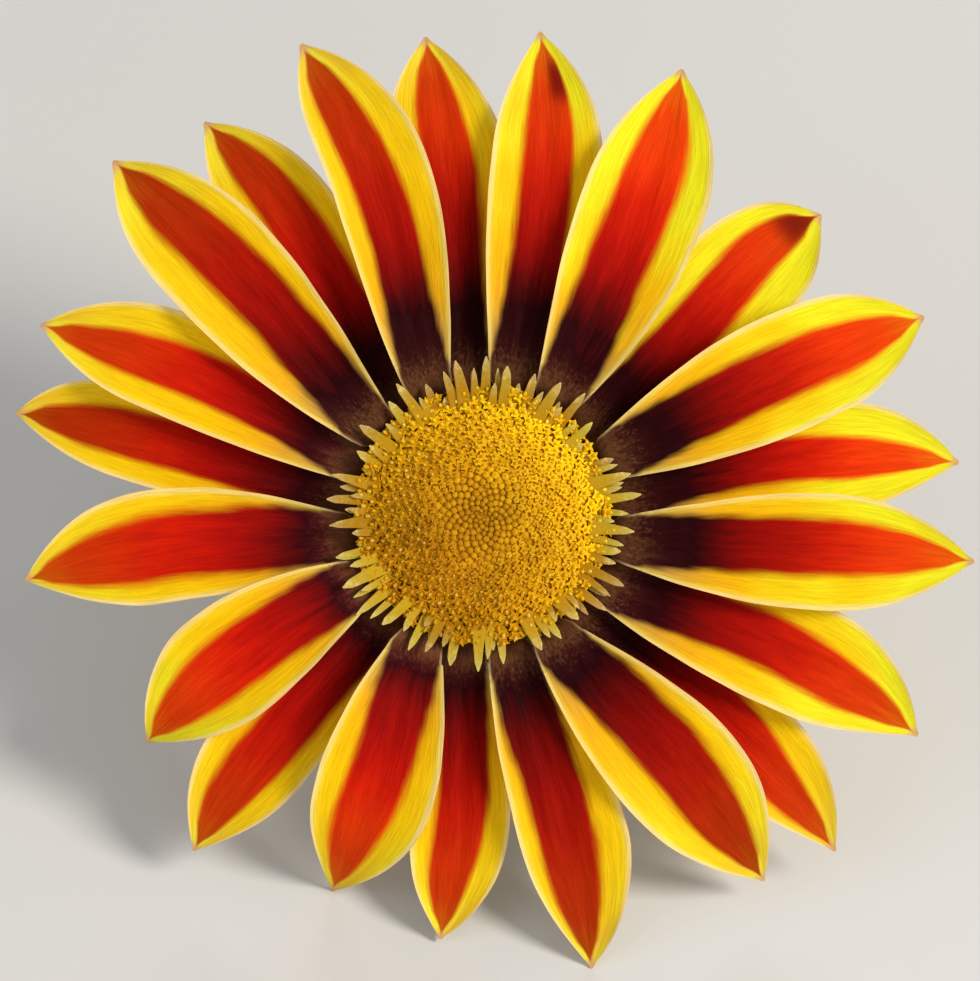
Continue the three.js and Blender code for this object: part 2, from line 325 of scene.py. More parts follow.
# One row a petal, clockwise from the top. Directions at the two stations and at the tip, the tip's
# reach, the half widths left and right, the level (2 in front), the tip's height, the arch, how late
# the blade bends back, and how full its outline stays towards the tip, left and right. Then its
# stripe: how far it runs left of the middle halfway and at the tip, how broad it is, how bright it is
# halfway and at the tip, partly its own tone and partly painted sunlight and shade, the tips brightest
# on the petals towards the light. Last, how far the margins turn a painted sunlit greenish yellow,
# more on the petals that lay towards the light.
Petal = namedtuple("Petal", "near middle tip reach leftHalf rightHalf level tipHeight arch lateness "
                            "leftFull rightFull sway veer breadth tone glow lemon")
petals = [Petal(*row) for row in [
    (97.0, 95.0, 96.9, 42.9, 5.3, 5.0, 0, -1.8, 0.8, 3, 3.6, 2.2, 0.03, 0.07, 1.0, 0.8, 1.0, 0.2),
    (77.8, 78.9, 83.3, 43.2, 5.0, 5.0, 1, 0.3, 0.9, 3, 2.6, 2.4, 0.0, -0.03, 1.0, 1.0, 1.08, 0.5),
    (58.5, 62.0, 66.0, 43.2, 5.5, 5.5, 2, 2.0, 1.1, 3, 2.5, 2.6, 0.06, -0.02, 1.08, 1.2, 1.28, 1.0),
    (40.5, 43.0, 41.7, 40.3, 5.1, 5.5, 0, -2.4, 0.6, 3, 3.8, 3.6, -0.08, 0.15, 0.95, 1.1, 1.15, 1.0),
    (24.8, 25.4, 24.3, 42.8, 5.3, 5.3, 2, 1.2, 1.0, 3, 2.8, 3.0, 0.04, 0.0, 1.02, 0.92, 1.28, 0.8),
    (8.3, 9.4, 6.4, 42.6, 5.2, 5.0, 0, -2.0, 0.9, 3, 2.6, 2.2, 0.1, -0.04, 0.82, 1.2, 1.32, 1.0),
    (-9.0, -6.0, -5.3, 43.6, 5.0, 5.3, 2, 1.9, 1.0, 3, 2.2, 2.3, 0.07, 0.05, 1.05, 0.88, 1.25, 0.7),
    (-27.5, -24.2, -26.8, 43.2, 5.3, 5.1, 1, -0.4, 0.9, 3, 2.4, 2.2, 0.05, -0.1, 1.0, 1.05, 1.05, 0.5),
    (-43.3, -40.5, -43.6, 43.3, 4.6, 4.5, 0, -2.6, 0.7, 3, 2.3, 2.2, 0.15, -0.2, 1.05, 1.05, 0.92, 0.0),
    (-58.9, -53.9, -52.4, 41.0, 6.3, 4.9, 2, -3.0, 1.0, 4, 2.2, 2.2, 0.18, 0.03, 1.05, 0.78, 0.62, 0.1),
    (-78.0, -75.0, -76.5, 41.2, 5.2, 4.4, 1, 0.26, 0.9, 3, 2.2, 2.2, -0.06, -0.15, 1.2, 0.72, 0.66, 0.0),
    (-97.7, -93.8, -95.8, 37.8, 4.2, 4.6, 0, -1.3, 0.2, 2, 2.2, 3.0, 0.03, -0.16, 1.1, 1.0, 0.87, 0.1),
    (-116.2, -111.7, -111.9, 36.2, 5.5, 5.1, 2, -6.2, 1.0, 4, 2.2, 2.4, 0.02, -0.1, 1.1, 1.3, 1.12, 0.1),
    (-134.0, -132.0, -130.9, 39.5, 4.0, 5.3, 0, -3.6, 0.3, 3, 2.2, 2.6, 0.0, -0.1, 1.1, 1.2, 0.85, 0.0),
    (-151.8, -148.6, -146.1, 36.1, 4.9, 5.5, 2, -3.0, 1.0, 4, 2.2, 2.2, -0.02, -0.02, 1.1, 1.4, 1.2, 0.25),
    (-172.1, -173.8, -172.0, 41.0, 4.6, 5.5, 1, 0.2, 0.9, 3, 2.2, 2.2, -0.03, 0.05, 1.25, 1.35, 0.97, 0.1),
    (171.1, 167.5, 167.6, 42.6, 4.0, 4.6, 0, -2.2, 0.7, 3, 2.5, 3.4, -0.03, 0.04, 1.1, 1.1, 0.7, 0.0),
    (156.0, 155.1, 156.6, 42.7, 3.9, 5.3, 1, 0.4, 0.9, 3, 3.0, 2.4, -0.1, 0.04, 0.97, 1.3, 0.97, 0.15),
    (140.2, 136.0, 136.2, 45.3, 5.6, 4.8, 2, 1.8, 1.1, 3, 3.4, 2.4, -0.1, 0.0, 1.08, 0.86, 0.68, 0.15),
    (126.3, 123.4, 125.3, 42.9, 4.5, 4.7, 0, -1.9, 0.8, 3, 3.4, 2.4, -0.07, -0.05, 1.05, 1.25, 0.74, 0.0),
    (112.0, 107.7, 111.1, 44.7, 4.0, 4.9, 2, 1.6, 1.0, 3, 4.4, 2.4, 0.03, 0.16, 1.05, 0.94, 0.76, 0.0),
]]


def petalAngle(row, radius):  # a parabola through the petal's three directions
    radius = max(radius, petal["straight"])
    radii = (*petal["stations"], row.reach)
    degrees = 0
    for i, direction in enumerate((row.near, row.middle, row.tip)):
        share = direction
        for j in range(3):
            if j != i:
                share *= (radius - radii[j]) / (radii[i] - radii[j])
        degrees += share
    return math.radians(degrees)


def outlineHalf(radius, reach, widest, fullness):  # half the width on one side of a petal
    along = (radius - petal["bladeStart"]) / (reach - petal["bladeStart"])
    if along < 0:
        climb = (radius - petal["rootRadius"]) / (petal["bladeStart"] - petal["rootRadius"])
        return between(petal["clawHalf"], petal["neckHalf"], max(climb, 0) ** 3)
    rise = math.sin(0.5 * math.pi * min(along / petal["widest"], 1))
    past = min(max(0, (along - petal["widest"]) / (1 - petal["widest"])), 1)
    return max(between(petal["neckHalf"], widest, rise) * (1 - past ** fullness), petal["tipHalf"])


def petalProfile(row, step):  # midline from the side: radius, height, slope, cup, share of the blade
    lift = (row.level - 1) * petal["levelStep"]
    if step < petal["clawRows"]:
        turn = 0.5 * math.pi * step / petal["clawRows"]
        width = petal["bladeRadius"] - petal["rootRadius"]
        height = lift - petal["rootDepth"]
        slope = math.atan2(height * math.cos(turn), width * math.sin(turn))
        return (petal["bladeRadius"] - width * math.cos(turn),
                petal["rootDepth"] + height * math.sin(turn), slope, 0, 0)
    along = (step - petal["clawRows"]) / petal["bladeRows"]
    length = row.reach - petal["bladeRadius"]
    drop = lift - row.tipHeight
    out = lift + row.arch * math.sin(math.pi * along) - drop * along ** row.lateness
    rate = row.arch * math.pi * math.cos(math.pi * along)
    rate -= drop * row.lateness * along ** (row.lateness - 1)
    cup = between(petal["neckCup"], petal["tipCup"], along)
    return petal["bladeRadius"] + length * along, out, math.atan2(rate, length), cup, along


relief = {  # depths and heights on a blade, and where across it they lie
    "groove": (-0.24, 0.13),  # down its middle: depth and half width
    "furrows": (-0.15, 0.1),
    "furrowAt": 0.5,
    "lines": (0.02, 34),  # height and how many
    "curl": 0.5,  # of the edges
    "wave": 0.28,
    "waves": 5,
    "hood": 0.4,  # of the tip, from this share of the blade on
    "hoodFrom": 0.82,
    "fullHalf": 3,  # half width below which the edges' forms grow smaller
}


def onSide(across):
    return 1 if across > 0 else -1


def petalRelief(across, along, half, seed):  # the grooves, curled edges and waves of the blade
    spread = smooth(along * 5)
    depth, width = relief["groove"]
    cut = depth * math.exp(-(across / width) ** 2)
    depth, width = relief["furrows"]
    cut += depth * math.exp(-((abs(across) - relief["furrowAt"]) / width) ** 2)
    height, count = relief["lines"]
    cut += height * math.cos(across * count)
    curl = relief["curl"] * across ** 4
    wave = relief["wave"] * across ** 4 * wobble(along * relief["waves"], seed, onSide(across))
    hood = relief["hood"] * across ** 2 * smooth((along - relief["hoodFrom"]) / (1 - relief["hoodFrom"]))
    return spread * (cut * (1 - along ** 6) + (curl + wave + hood) * min(1, half / relief["fullHalf"]))


stripes = [  # the stripe's half width, as a share of the blade's, at shares of the way to the tip
    (0.015, 1.1), (0.045, 1.0), (0.09, 0.8), (0.18, 0.66), (0.27, 0.56), (0.4, 0.49), (0.6, 0.46),
    (0.8, 0.45), (0.91, 0.42), (1.0, 0.05),
]


def stripeShare(far):
    for (near, first), (after, second) in zip(stripes, stripes[1:]):
        if far < after:
            return between(first, second, smooth((far - near) / (after - near)))
    return stripes[-1][1]


def fromStripe(row, far, across):  # where a point lies across the stripe's own, swaying middle
    begun = smooth(far / 0.25)
    lean = between(row.sway, row.veer, smooth((far - 0.45) / 0.4)) * begun
    return (across - lean) / between(1.0, row.breadth, begun)


spots = {  # browned ends by petal: place along and across, length and width
    2: (0.86, -0.33, 0.06, 0.26),
    4: (0.925, 0.2, 0.07, 0.5),
}
browning = 0.92  # how strong they are in their middles


def faded(number, along, across):
    if number not in spots:
        return 0.0
    middle, side, length, width = spots[number]
    return browning * math.exp(-((along - middle) / length) ** 4 - ((across - side) / width) ** 4)


def stripeTone(row, far):  # how bright the stripe is, and how warm, at a share of the way to the tip
    side = math.cos(petalAngle(row, petal["sideRadius"]) - petal["darkSide"])
    # the stripe's brightness from halfway to the tip is partly its own tone and partly painted sunlight
    # and shade
    tone = between(row.tone, row.glow, smooth((far - 0.4) / 0.4))
    tone *= between(0.85 - 0.2 * side, 1, smooth((far - 0.1) / 0.3))
    later = petal["darkening"] * side * smooth((far - 0.04) / 0.12) * (1 - smooth((far - 0.16) / 0.32))
    return tone, max(0.95 * far - later, min(0.95 * far, 0.15))


def rayPetal(number, row, finishes):
    shape = Shape()
    seed = number * 7.31
    rings = []
    for step in range(petal["clawRows"] + petal["bladeRows"] + 1):
        radius, out, slope, cup, along = petalProfile(row, step)
        angle, ahead = petalAngle(row, radius), petalAngle(row, radius + 0.05)
        here = Vector((math.cos(angle), math.sin(angle))) * radius
        heading = (Vector((math.cos(ahead), math.sin(ahead))) * (radius + 0.05) - here).normalized()
        right = outlineHalf(radius, row.reach, row.rightHalf, row.rightFull)
        left = outlineHalf(radius, row.reach, row.leftHalf, row.leftFull)
        far = (radius - petal["bladeStart"]) / (row.reach - petal["bladeStart"])
        tone, warmth = stripeTone(row, far)
        faces = [], []
        for column in range(petal["columns"] + 1):
            even = 2 * column / petal["columns"] - 1
            across = (1 + petal["crowding"]) * even - petal["crowding"] * even ** 3
            half = left if across > 0 else right
            half *= 1 + petal["uneven"] * wobble(along * 7, seed + 3, onSide(across))
            lift = cup * across ** 2 * min(1, half / relief["fullHalf"])
            lift += petalRelief(across, along, half, seed)
            depth = between(petal["thickness"], petal["edge"], across ** 4) / 2
            for face, offset in zip(faces, (depth, -depth)):
                inward = -math.sin(slope) * offset
                place = onHead(
                    here.x - heading.y * half * across + heading.x * inward,
                    here.y + heading.x * half * across + heading.y * inward,
                    out + lift + math.cos(slope) * offset)
                place.z = max(place.z, petal["lowest"])
                face.append(shape.point(
                    place, across=across, radius=radius, far=far, aside=fromStripe(row, far, across),
                    stripe=stripeShare(far), spent=faded(number, along, across),
                    which=number / len(petals), tone=tone, lemon=row.lemon,
                    warmth=warmth))
        rings.append(faces)
    top = [upper for upper, under in rings]
    bottom = [under[::-1] for upper, under in rings]
    shape.skin(top[::-1], 0, closed=False)
    shape.skin(bottom[::-1], 1, closed=False)
    for near, far in zip(rings, rings[1:]):
        for side, turned in ((0, 1), (-1, -1)):
            edge = (near[0][side], near[1][side], far[1][side], far[0][side])
            shape.face(edge[::turned], 0)
    for faces, turned in ((rings[0], 1), (rings[-1], -1)):
        for column in range(petal["columns"]):
            end = (faces[0][column], faces[0][column + 1], faces[1][column + 1], faces[1][column])
            shape.face(end[::turned], 0)
    name = f"ray_{number:02d}"
    shape.made(f"petal_{number:02d}", finishes, "petal", [name])


petalFace = {
    "roughness": 0.46,
    "stripe": [  # colours from the foot to the tip
        (0.03, (0.1, 0.03, 0.012)), (0.09, (0.05, 0.006, 0.006)), (0.16, (0.027, 0.0015, 0.003)),
        (0.23, (0.1, 0.002, 0.002)), (0.34, (0.27, 0.003, 0.0015)), (0.44, (0.38, 0.005, 0.0015)),
        (0.56, (0.52, 0.011, 0.0015)), (0.69, (0.62, 0.029, 0.0015)), (0.82, (0.6, 0.042, 0.0015)),
        (0.95, (0.6, 0.12, 0.003))],
    "margin": [
        (0.0, (0.3, 0.15, 0.04)), (0.09, (0.46, 0.24, 0.06)), (0.16, (0.62, 0.32, 0.04)),
        (0.25, (0.84, 0.4, 0.01)), (0.34, (0.88, 0.46, 0.004)), (0.5, (0.92, 0.54, 0.003)),
        (0.7, (0.92, 0.585, 0.005)), (0.84, (0.87, 0.57, 0.012)), (0.94, (0.84, 0.48, 0.04)),
        (1.0, (0.8, 0.42, 0.12))],
    "veins": 0.09,  # how deep the fine veins are in colour
    "lemon": 0.85,  # how far the margins may turn the painted sunlit greenish yellow
}
petalBack = {
    "roughness": 0.6,
    "stripe": [
        (0.0, (0.1, 0.06, 0.015)), (0.3, (0.22, 0.1, 0.02)), (0.7, (0.36, 0.15, 0.02)),
        (1.0, (0.5, 0.2, 0.03))],
    "margin": [(0.0, (0.4, 0.3, 0.06)), (0.4, (0.75, 0.5, 0.04)), (1.0, (0.85, 0.62, 0.06))],
    "veins": 0.07,
    # how far the underside's margins may turn the painted sunlit greenish yellow
    "lemon": 0.25,
}
petalColours = {
    # a lighter yellow for the outer edges, partly their own colour and partly painted highlight
    "rim": (0.92, 0.8, 0.04, 1),
    # painted highlight: the greenish yellow of sunlit margins
    "lemon": (0.85, 0.83, 0.016, 1),
    "edge": (0.94, 0.69, 0.33, 1),
    "dust": (0.2, 0.08, 0.03, 1),
    "tip": (0.76, 0.42, 0.18, 1),
    "browned": (0.17, 0.004, 0.002, 1),
}


def petalFinish(name, look):
    finish = Finish(name, look["roughness"], 0.03)
    across, radius, far = finish.value("across"), finish.value("radius"), finish.value("far")
    which = finish.value("which")  # moves the grain from petal to petal

    def grain(wide, long, shift, detail, roughness=0.5):  # drawn out along the petal
        place = finish.vector(across * wide, radius * long, which * shift)
        return finish.grain(place, 1.0, detail, roughness)

    streak = grain(9, 0.22, 61, 3.0, 0.6)
    fine = grain(30, 0.35, 37, 2.0, 0.6)
    patch = grain(1.5, 0.14, 83, 1.0)
    mottle = grain(11, 2.2, 53, 3.0, 0.65)
    half = finish.value("stripe") + 0.13 * (streak - 0.5) + 0.06 * (patch - 0.5)
    inside = 1 - finish.step(abs(finish.value("aside")) - half, -0.09, 0.12)
    warmth = finish.value("warmth") + 0.1 * (patch - 0.5) + 0.14 * (streak - 0.5)
    # the brightness read here carries painted sunlight and shade as well as the stripe's own tone
    tone = finish.value("tone") * (0.86 + 0.28 * streak)
    stripe = finish.tinted(finish.ramp(warmth, look["stripe"]), finish.grey(tone))
    margin = finish.ramp(far + 0.14 * (patch - 0.5), look["margin"])
    # a lighter yellow band along the outer edges: partly their own colour, partly painted highlight
    rim = finish.step(abs(across) + 0.06 * (fine - 0.5), 0.76, 0.96)
    margin = finish.blend(rim * 0.4, margin, petalColours["rim"])
    # painted highlight: towards the tips the margins turn a sunlit greenish yellow, more on the petals
    # that lay towards the light
    lemon = finish.step(far + 0.5 * finish.value("lemon") + 0.9 * (patch - 0.5), 0.75, 1.25)
    margin = finish.blend(lemon * look["lemon"], margin, petalColours["lemon"])
    colour = finish.blend(inside, margin, stripe)
    edge = finish.step(abs(across) + 0.04 * (fine - 0.5), 0.87, 0.97)
    colour = finish.blend(edge * (0.4 + 0.45 * far), colour, petalColours["edge"])
    dust = finish.step(mottle + 3 * (0.07 - far), 0.4, 0.8)
    colour = finish.blend(dust * 0.6, colour, petalColours["dust"])
    veins = 1 - look["veins"] + 2 * look["veins"] * finish.step(fine, 0.3, 0.68)
    colour = finish.tinted(colour, finish.grey(veins))
    tip = finish.step(far + 0.02 * (fine - 0.5), 0.965, 0.995)
    colour = finish.blend(tip, colour, petalColours["tip"])
    colour = finish.blend(finish.value("spent") * inside, colour, petalColours["browned"])
    finish.paint(colour)
    finish.roughen(look["roughness"] + 0.14 * inside + 0.12 * (fine - 0.5))
    finish.bump(fine * 0.6 + streak * 0.4, 0.14, 0.7)
    return finish


def makePetals():
    finishes = [petalFinish("petalFace", petalFace), petalFinish("petalBack", petalBack)]
    for number, row in enumerate(petals, 1):
        rayPetal(number, row, finishes)
    print("petals made")


# disc

disc = {
    "radius": 10.1,
    "top": 4.0,
    "rim": 1.3,
    "foot": -8.0,
    "florets": 780,
    "spread": 10.45,  # radius of the outermost small florets
    "crowding": 0.64,  # over 0.5, florets stand closer in the middle
    "edging": 62,  # more of them, leaning out over the petals
    "pointed": 34,  # groups of long pale points
    "reach": (12.4, 14.2),
    "lobes": 5,
    "coreSides": 64,
    "coreRows": 14,
    "golden": math.pi * (3 - math.sqrt(5)),
    "paintedSun": math.radians(45),  # side towards the light, where the florets get painted sunlight and are brightest
}


def coreHeight(radius):
    return disc["rim"] + (disc["top"] - disc["rim"]) * (1 - (radius / disc["radius"]) ** 2)


def discCore(finish):
    shape = Shape()
    profile = [(8.6, disc["foot"]), (9.2, -4), (9.7, -1), (disc["radius"], disc["rim"] - 0.4)]
    for step in range(disc["coreRows"]):
        climb = step / disc["coreRows"] * math.pi / 2
        radius = disc["radius"] * math.cos(climb)
        raised = between(0.1, 0.66, smooth(radius / 8)) * min(1, 2 * math.sin(climb))
        profile.append((radius, coreHeight(radius) + raised))
    count = disc["coreSides"]
    turns = [index / count * math.tau for index in range(count)]
    rings = [[shape.point(roundHead(radius, turn, out)) for turn in turns] for radius, out in profile]
    shape.skin(rings)
    crown = shape.point(onHead(0, 0, disc["top"] + 0.1))
    foot = shape.point(onHead(0, 0, disc["foot"]))
    shape.fan(rings[-1], crown)
    shape.fan(rings[0][::-1], foot)
    shape.made("disc_core", [finish], "disc", ["disc"])


# rings of a floret: radius at a lobe's tip, radius in the notch, height, and what the ring is
# (0 tube, 1 lobe, 2 anthers)
openFloret = [
    (0.2, 0.2, -0.35, 0.0), (0.26, 0.25, 0.5, 0.2), (0.4, 0.34, 0.84, 0.7), (0.64, 0.36, 0.98, 1.0),
    (0.62, 0.33, 1.04, 1.0), (0.31, 0.25, 0.96, 0.6), (0.17, 0.17, 0.94, 1.5), (0.17, 0.17, 1.3, 2.0),
    (0.12, 0.12, 1.42, 2.0),
]
budFloret = [
    (0.26, 0.26, -0.35, 0.0), (0.42, 0.4, 0.3, 0.3), (0.5, 0.46, 0.6, 0.8), (0.48, 0.42, 0.8, 1.0),
    (0.38, 0.31, 0.95, 1.1), (0.28, 0.21, 1.03, 1.1), (0.2, 0.15, 1.07, 1.0), (0.12, 0.1, 1.09, 1.0),
    (0.05, 0.05, 1.1, 1.0),
]


def floret(shape, foot, axis, size, opening, twist, tint, stretch=1.0):
    side = axis.cross(headRight).normalized()
    other = axis.cross(side)
    count = 2 * disc["lobes"]
    rings = []
    for shut, wide in zip(budFloret, openFloret):
        tip, notch, height, part = (between(low, high, opening) for low, high in zip(shut, wide))
        high = height * stretch
        ring = []
        for index in range(count):
            turn = twist + math.tau * index / count
            far = notch if index % 2 else tip
            spoke = side * math.cos(turn) + other * math.sin(turn)
            ring.append(shape.point(foot + axis * high * size + spoke * far * size, part=part, tint=tint))
        rings.append(ring)
    shape.skin(rings)
    last = between(budFloret[-1][2], openFloret[-1][2] + 0.05, opening) * stretch
    crown = shape.point(foot + axis * last * size, part=between(1.0, 2.0, opening), tint=tint)
    shape.fan(rings[-1], crown)


def innerFlorets(finish):
    draw = random.Random(11)
    shape = Shape()
    for index in range(disc["florets"]):
        share = ((index + 0.5) / disc["florets"]) ** disc["crowding"]
        radius = disc["spread"] * share
        turn = index * disc["golden"]
        foot = roundHead(radius, turn, coreHeight(min(radius, disc["radius"])) - 0.1)
        lean = 0.12 + 0.55 * share ** 2
        outward = outwards(turn)
        axis = headOut + outward * (lean + draw.uniform(-0.1, 0.1))
        axis += outward.cross(headOut) * draw.uniform(-0.14, 0.14)
        opening = smooth((radius - 2.4 + draw.uniform(-0.8, 0.8)) / 3.5)
        size = between(0.85, 1.0, share) * share ** 0.22 * draw.uniform(0.88, 1.12)
        # painted sunlight: the florets grow brighter outwards and towards the lit side, with a random
        # spread
        paintedSun = 1.15 * share - 0.27 + 0.72 * share * math.cos(turn - disc["paintedSun"])
        paintedSun += draw.uniform(-0.2, 0.2)
        floret(shape, foot, axis.normalized(), size, opening, draw.uniform(0, math.tau), paintedSun,
               draw.uniform(0.88, 1.15))
    for index in range(disc["edging"]):
        turn = math.tau * index / disc["edging"] + draw.uniform(-0.03, 0.03)
        foot = roundHead(draw.uniform(10.2, 10.75), turn, draw.uniform(1.2, 1.6))
        axis = headOut + outwards(turn) * draw.uniform(0.6, 0.9)
        size = draw.uniform(0.85, 1.1)
        # painted sunlight on the edging florets of the lit side
        paintedSun = 0.6 + 0.4 * math.cos(turn - disc["paintedSun"])
        floret(shape, foot, axis.normalized(), size, 1.0, draw.uniform(0, math.tau), paintedSun, 1.1)
    shape.made("disc_florets", [finish], "disc", ["disc"])


lobes = {
    "root": 9.3,  # radius where they grow
    "climb": 0.95,
    "thickness": 0.26,  # of half their width
    "trough": 0.3,  # how far their edges curl up, of the same
    "rows": 12,
    "sides": 12,
    "middleWidth": (0.95, 1.4),
    "middleEnd": (0.38, 0.7),
    "sideWidth": (0.7, 1.1),
    "sideEnd": (0.3, 0.5),
    "sideAngle": 0.09,
    "sideShorter": (0.6, 2.1),
    "sideShare": 0.8,  # how many of the side ones are there
    # for the long points this is only a random tone, with no painted light
    "tint": (0.35, 1.0),
}


def lobe(shape, turn, reach, width, blunt, rise, tint, droop, swerve):  # one long pale point
    spoke = outwards(turn)
    across = headOut.cross(spoke)
    rings = []
    for step in range(lobes["rows"] + 1):
        share = step / lobes["rows"]
        along = between(lobes["root"], reach, share)
        out = rise + lobes["climb"] * share - droop * share ** 2
        narrowing = math.sqrt(1 - 0.97 * smooth((share - 0.8) / 0.2))
        half = between(width, blunt, share) / 2 * narrowing + 0.01
        middle = head["centre"] + spoke * along + across * swerve * share ** 2 + headOut * out
        ring = []
        for corner in range(lobes["sides"]):
            angle = math.tau * corner / lobes["sides"]
            side = math.cos(angle)
            thick = lobes["thickness"] * math.sin(angle) + lobes["trough"] * side ** 2
            ring.append(shape.point(
                middle + across * side * half + headOut * thick * half, part=1.0 + share, tint=tint))
        rings.append(ring)
    shape.skin([ring[::-1] for ring in rings])
    shape.face(rings[-1][::-1])
    shape.face(rings[0])


def outerFlorets(finish):
    draw = random.Random(23)
    shape = Shape()
    for index in range(disc["pointed"]):
        turn = math.tau * (index + 0.5) / disc["pointed"] + draw.uniform(-0.05, 0.05)
        raised = 0.45 * (index % 2)
        reach = draw.uniform(*disc["reach"])
        tint = draw.uniform(*lobes["tint"])
        lobe(shape, turn, reach, draw.uniform(*lobes["middleWidth"]), draw.uniform(*lobes["middleEnd"]),
             1.75 + raised, tint, draw.uniform(0.0, 0.6), draw.uniform(-0.35, 0.35))
        for swing in (-lobes["sideAngle"], lobes["sideAngle"]):
            if draw.random() < lobes["sideShare"]:
                lobe(shape, turn + swing + draw.uniform(-0.015, 0.015),
                     reach - draw.uniform(*lobes["sideShorter"]), draw.uniform(*lobes["sideWidth"]),
                     draw.uniform(*lobes["sideEnd"]), 1.6 + raised, tint,
                     draw.uniform(0, 0.5), draw.uniform(-0.3, 0.3))
    shape.made("outer_florets", [finish], "disc", ["disc"])


discColours = {
    "core": [(0.3, (0.44, 0.2, 0.004)), (0.7, (0.7, 0.38, 0.007))],
    "floret": [  # from the tube to the lobes, then the anthers
        (0.0, (0.5, 0.22, 0.003)), (0.3, (0.76, 0.4, 0.003)), (0.52, (0.95, 0.6, 0.006)),
        (0.8, (0.76, 0.38, 0.004)), (1.0, (0.84, 0.53, 0.01))],
    "pointed": [  # from the root to the point
        (0.0, (0.4, 0.18, 0.01)), (0.5, (0.7, 0.37, 0.006)), (0.72, (0.68, 0.37, 0.01)),
        (0.84, (0.66, 0.42, 0.05)), (1.0, (0.84, 0.64, 0.25))],
    "green": (0.44, 0.4, 0.025, 1),
    "pollen": (0.9, 0.66, 0.2, 1),
}


def coreFinish():
    finish = Finish("discCore", 0.85, 0.2)
    speckle = finish.grain(finish.place(), 900, 3.0, 0.7)
    finish.paint(finish.ramp(speckle, discColours["core"]))
    finish.bump(speckle, 0.2)
    return finish


def floretFinish(name, stops, shade, green):
    finish = Finish(name, 0.78, 0.12)
    part, tint = finish.value("part"), finish.value("tint")
    dust = finish.grain(finish.place(), 2600, 2.0, 0.7)
    drift = finish.grain(finish.place(), 140, 1.0, 0.5)
    colour = finish.ramp(0.5 * part + 0.1 * (dust - 0.5), stops)
    # painted sunlight: on the disc's florets this value makes them brighter and yellower on the lit side;
    # on the long points it is a random tone
    light = shade - 0.16 + 0.42 * tint + 0.35 * (drift - 0.5) + 0.3 * (dust - 0.5)
    lemon = 0.76 + 0.28 * tint
    colour = finish.tinted(colour, finish.vector(light, light * lemon, light * 0.8))
    colour = finish.blend(green * finish.step(tint, 0.5, 1.0), colour, discColours["green"])
    pollen = finish.grain(finish.place(), 1900, 1.0, 0.5)
    dusted = finish.step(pollen, 0.55, 0.68) * finish.step(part, 1.5, 1.9)  # on the anthers
    colour = finish.blend(0.5 * dusted, colour, discColours["pollen"])
    finish.paint(colour)
    finish.bump(dust, 0.06)
    return finish


def makeDisc():
    discCore(coreFinish())
    innerFlorets(floretFinish("floret", discColours["floret"], 0.82, 0.0))
    outerFlorets(floretFinish("pointedFloret", discColours["pointed"], 0.64, 0.3))
    print("disc made")


# involucre

cup = {
    "radius": 12.7,
    "rim": -3.8,
    "foot": -16.0,
    "depth": 13,  # over which its colour changes
    "bracts": 21,
    "segments": 168,
    "rib": 0.2,
    "bractRows": 10,
    "bractSides": 10,
}
cup["outside"] = [  # its outline from the scape to the rim: radius, height
    (1.7, cup["foot"] - 0.25), (2.2, cup["foot"]), (3.2, -15.75), (4.6, -15.2), (6.4, -14.2), (8.2, -12.9),
    (9.7, -11.4), (11, -9.6), (11.75, -8.1), (12.3, -6.6), (12.55, -5.2), (cup["radius"], cup["rim"]),
]
cup["inside"] = [(11.95, cup["rim"] + 0.1), (11.1, -6.4), (10.7, -8.3), (3, -8.4)]
cup["rows"] = [  # of bract tips: count, turn offset, foot and tip (radius, height), width
    (cup["bracts"], 0.0, (12.0, -7.2), (13.05, -2.35), 2.0),
    (cup["bracts"], 0.5, (11.3, -9.6), (13.65, -4.9), 2.3),
    (14, 0.25, (9.4, -12.2), (12.75, -8.2), 2.4),
]


def upCup(out):  # share of the way up the cup
    return (out - cup["foot"]) / cup["depth"]


def involucre(finishes):
    shape = Shape()
    rings = []
    for radius, out in cup["outside"] + cup["inside"]:
        ring = []
        for index in range(cup["segments"]):
            turn = math.tau * index / cup["segments"]
            rib = math.cos(turn * cup["bracts"]) * smooth((radius - 3) / 6)
            place = roundHead(radius + cup["rib"] * rib, turn, out)
            ring.append(shape.point(place, along=upCup(out), tip=0.0, rib=rib))
        rings.append(ring)
    shape.skin(rings)
    shape.face(rings[0][::-1])
    shape.face(rings[-1])
    draw = random.Random(5)
    for count, offset, (footRadius, footOut), (tipRadius, tipOut), width in cup["rows"]:
        for index in range(count):
            turn = math.tau * (index + offset) / count + draw.uniform(-0.03, 0.03)
            reach = draw.uniform(0.9, 1.0)
            bract(shape, turn, footRadius, footOut, between(footRadius, tipRadius, reach),
                  between(footOut, tipOut, reach), width * draw.uniform(0.9, 1.1))
    shape.made("involucre_cup", finishes, "bract", ["involucre"])


def bract(shape, turn, footRadius, footOut, tipRadius, tipOut, width):
    spoke = outwards(turn)
    across = headOut.cross(spoke)
    climb = spoke * (tipRadius - footRadius) + headOut * (tipOut - footOut)
    face = across.cross(climb).normalized()
    start = head["centre"] + spoke * footRadius + headOut * footOut
    rings = []
    for step in range(cup["bractRows"] + 1):
        share = step / cup["bractRows"]
        half = width / 2 * (1 - share ** 1.7) ** 0.8 * between(0.6, 1, smooth(share / 0.3)) + 0.05
        raised = 0.3 * math.sin(math.pi * share) - 0.45 * (1 - smooth(share / 0.35))
        middle = start + climb * share + face * raised
        ring = []
        for corner in range(cup["bractSides"]):
            angle = math.tau * corner / cup["bractSides"]
            keel = 0.26 if 0.3 < angle / math.pi < 0.7 else 0.2
            raised = math.sin(angle) * keel * (1 - 0.6 * share)
            ring.append(shape.point(
                middle + across * math.cos(angle) * half + face * raised,
                along=upCup(between(footOut, tipOut, share)), tip=share, rib=math.sin(angle)))
        rings.append(ring)
    shape.skin(rings)
    shape.face(rings[0][::-1])
    shape.face(rings[-1])


